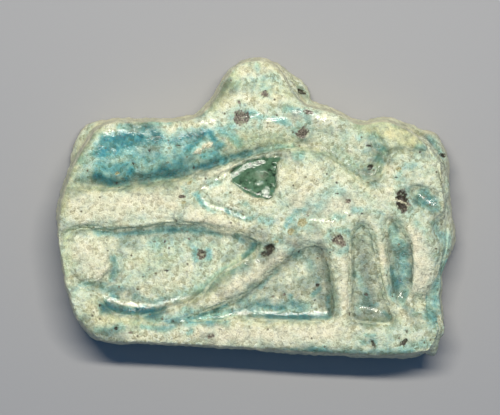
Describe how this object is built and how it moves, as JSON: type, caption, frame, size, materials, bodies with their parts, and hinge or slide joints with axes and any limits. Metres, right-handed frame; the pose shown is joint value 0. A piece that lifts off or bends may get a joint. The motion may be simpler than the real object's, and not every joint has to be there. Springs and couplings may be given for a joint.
{
  "type": "wedjat eye amulet",
  "caption": "Flat-backed glazed eye amulet with a brow, a teardrop and a curl in relief, hung by a cord hole through the lug on its brow.",
  "frame": {"origin": "centre of the bounding box at the flat back, which lies on the surface", "axes": "+X along the eye, toward its falcon markings; +Y toward the lug on the brow; +Z out of the carved face"},
  "size_m": [0.034, 0.0258, 0.0055],
  "materials": {
    "glazed_ware": "satin"
  },
  "bodies": {
    "root": {"wedjat_amulet": "glazed_ware"}
  },
  "joints": []
}
